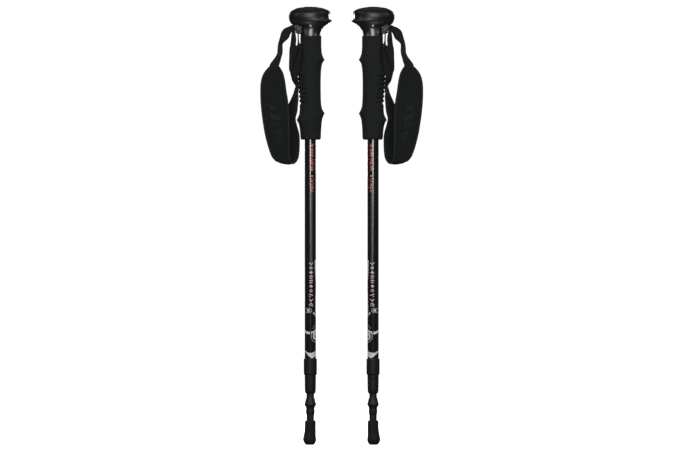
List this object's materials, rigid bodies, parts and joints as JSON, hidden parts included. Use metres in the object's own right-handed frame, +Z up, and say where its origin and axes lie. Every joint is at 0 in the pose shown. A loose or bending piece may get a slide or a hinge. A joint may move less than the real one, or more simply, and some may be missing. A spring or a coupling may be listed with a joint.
{
  "type": "trekking poles",
  "caption": "Pair of telescoping trekking poles standing collapsed, with contoured handles, padded wrist straps, twist-lock sections and rubber feet.",
  "frame": {"origin": "on the ground, midway between the two poles", "axes": "+Z up along both poles; +X from the left pole to the right one; each handle's nose points at the other pole and each strap is on the outside"},
  "size_m": [0.2588, 0.034, 0.7011],
  "materials": {
    "foot_rubber": "moulded black rubber foot, matte",
    "ferrule_plastic": "black nylon tip, fine moulded texture",
    "carbide": "ground carbide tip",
    "inner_tube": "black anodised aluminium tube",
    "stud_metal": "turned aluminium",
    "expander_plastic": "red nylon expander",
    "cone_brass": "turned brass cone nut",
    "outer_tube": null,
    "collar_plastic": "satin black moulded plastic",
    "spring_steel": "zinc plated steel",
    "core_plastic": "black nylon",
    "grip_foam": "matte black moulded grip, fine grain",
    "head_plastic": "satin black moulded plastic, fine grain",
    "insert_clear": "milky clear plastic insert",
    "lug_gloss": "gloss black plastic",
    "webbing": "black woven nylon webbing",
    "strap_padding": "black neoprene faced with knit, bound edge"
  },
  "bodies": {
    "left_foot": {"left_rubber_foot": "foot_rubber"},
    "left_lower_section": {"left_tip_ferrule": "ferrule_plastic", "left_carbide_tip": "carbide", "left_lower_tube": "inner_tube", "left_lower_stud_plug": "stud_metal"},
    "left_lower_lock": {"left_lower_expander": "expander_plastic"},
    "left_lower_cone": {"left_lower_cone_nut": "cone_brass"},
    "left_middle_section": {"left_middle_tube": "inner_tube", "left_middle_collar": "collar_plastic", "left_middle_stud_plug": "stud_metal"},
    "left_middle_lock": {"left_middle_expander": "expander_plastic"},
    "left_middle_cone": {"left_middle_cone_nut": "cone_brass"},
    "left_upper_section": {"left_upper_tube": "outer_tube", "left_upper_collar": "collar_plastic", "left_shock_plug": "stud_metal", "left_shock_rod": "spring_steel", "left_shock_nut": "spring_steel", "left_shock_spring": "spring_steel"},
    "left_handle": {"left_grip_core": "core_plastic", "left_grip_sleeve": "grip_foam", "left_head_body": "head_plastic", "left_head_cap": "head_plastic", "left_head_insert": "insert_clear", "left_head_screws": "spring_steel", "left_strap_lug": "lug_gloss", "left_strap_bar": "spring_steel"},
    "left_wrist_strap": {"left_strap_webbing_outer": "webbing", "left_strap_webbing_inner": "webbing", "left_strap_pad_outer": "strap_padding", "left_strap_pad_inner": "strap_padding"},
    "right_foot": {"right_rubber_foot": "foot_rubber"},
    "right_lower_section": {"right_tip_ferrule": "ferrule_plastic", "right_carbide_tip": "carbide", "right_lower_tube": "inner_tube", "right_lower_stud_plug": "stud_metal"},
    "right_lower_lock": {"right_lower_expander": "expander_plastic"},
    "right_lower_cone": {"right_lower_cone_nut": "cone_brass"},
    "right_middle_section": {"right_middle_tube": "inner_tube", "right_middle_collar": "collar_plastic", "right_middle_stud_plug": "stud_metal"},
    "right_middle_lock": {"right_middle_expander": "expander_plastic"},
    "right_middle_cone": {"right_middle_cone_nut": "cone_brass"},
    "right_upper_section": {"right_upper_tube": "outer_tube", "right_upper_collar": "collar_plastic", "right_shock_plug": "stud_metal", "right_shock_rod": "spring_steel", "right_shock_nut": "spring_steel", "right_shock_spring": "spring_steel"},
    "right_handle": {"right_grip_core": "core_plastic", "right_grip_sleeve": "grip_foam", "right_head_body": "head_plastic", "right_head_cap": "head_plastic", "right_head_insert": "insert_clear", "right_head_screws": "spring_steel", "right_strap_lug": "lug_gloss", "right_strap_bar": "spring_steel"},
    "right_wrist_strap": {"right_strap_webbing_outer": "webbing", "right_strap_webbing_inner": "webbing", "right_strap_pad_outer": "strap_padding", "right_strap_pad_inner": "strap_padding"}
  },
  "joints": [
    {"name": "pair_spacing", "type": "slide", "parent": "left_foot", "child": "right_foot", "axis": [1, 0, 0], "range_m": [0, 0.4]},
    {"name": "left_foot_release", "type": "slide", "parent": "left_foot", "child": "left_lower_section", "axis": [0, 0, 1], "range_m": [0, 0.045]},
    {"name": "left_lower_twist", "type": "hinge", "parent": "left_lower_section", "child": "left_lower_lock", "pos_m": [-0.0502, 0, 0.48], "axis": [0, 0, 1], "range_deg": [0, 360]},
    {"name": "left_lower_cone_travel", "type": "slide", "parent": "left_lower_lock", "child": "left_lower_cone", "axis": [0, 0, 1], "range_m": [0, 0.0016]},
    {"name": "left_lower_extend", "type": "slide", "parent": "left_lower_lock", "child": "left_middle_section", "axis": [0, 0, 1], "range_m": [0, 0.325]},
    {"name": "left_middle_twist", "type": "hinge", "parent": "left_middle_section", "child": "left_middle_lock", "pos_m": [-0.0502, 0, 0.556], "axis": [0, 0, 1], "range_deg": [0, 360]},
    {"name": "left_middle_cone_travel", "type": "slide", "parent": "left_middle_lock", "child": "left_middle_cone", "axis": [0, 0, 1], "range_m": [0, 0.0016]},
    {"name": "left_middle_extend", "type": "slide", "parent": "left_middle_lock", "child": "left_upper_section", "axis": [0, 0, 1], "range_m": [0, 0.325]},
    {"name": "left_shock_absorber", "type": "slide", "parent": "left_upper_section", "child": "left_handle", "axis": [0, 0, -1], "range_m": [0, 0.01], "stiffness_N_per_m": 15000, "springref_m": -0.002, "deforming": ["left_shock_spring"]},
    {"name": "left_strap_swing", "type": "hinge", "parent": "left_handle", "child": "left_wrist_strap", "pos_m": [-0.0708, 0, 0.661], "axis": [0, 1, 0], "range_deg": [0, 25]},
    {"name": "right_foot_release", "type": "slide", "parent": "right_foot", "child": "right_lower_section", "axis": [0, 0, 1], "range_m": [0, 0.045]},
    {"name": "right_lower_twist", "type": "hinge", "parent": "right_lower_section", "child": "right_lower_lock", "pos_m": [0.0502, 0, 0.48], "axis": [0, 0, 1], "range_deg": [0, 360]},
    {"name": "right_lower_cone_travel", "type": "slide", "parent": "right_lower_lock", "child": "right_lower_cone", "axis": [0, 0, 1], "range_m": [0, 0.0016]},
    {"name": "right_lower_extend", "type": "slide", "parent": "right_lower_lock", "child": "right_middle_section", "axis": [0, 0, 1], "range_m": [0, 0.325]},
    {"name": "right_middle_twist", "type": "hinge", "parent": "right_middle_section", "child": "right_middle_lock", "pos_m": [0.0502, 0, 0.556], "axis": [0, 0, 1], "range_deg": [0, 360]},
    {"name": "right_middle_cone_travel", "type": "slide", "parent": "right_middle_lock", "child": "right_middle_cone", "axis": [0, 0, 1], "range_m": [0, 0.0016]},
    {"name": "right_middle_extend", "type": "slide", "parent": "right_middle_lock", "child": "right_upper_section", "axis": [0, 0, 1], "range_m": [0, 0.325]},
    {"name": "right_shock_absorber", "type": "slide", "parent": "right_upper_section", "child": "right_handle", "axis": [0, 0, -1], "range_m": [0, 0.01], "stiffness_N_per_m": 15000, "springref_m": -0.002, "deforming": ["right_shock_spring"]},
    {"name": "right_strap_swing", "type": "hinge", "parent": "right_handle", "child": "right_wrist_strap", "pos_m": [0.0708, 0, 0.661], "axis": [0, -1, 0], "range_deg": [0, 25]}
  ],
  "couplings": [
    {"joint": "left_lower_cone_travel", "follows": "left_lower_twist", "m_per_rad": 0.00023873},
    {"joint": "left_middle_cone_travel", "follows": "left_middle_twist", "m_per_rad": 0.00023873},
    {"joint": "right_lower_cone_travel", "follows": "right_lower_twist", "m_per_rad": 0.00023873},
    {"joint": "right_middle_cone_travel", "follows": "right_middle_twist", "m_per_rad": 0.00023873}
  ]
}
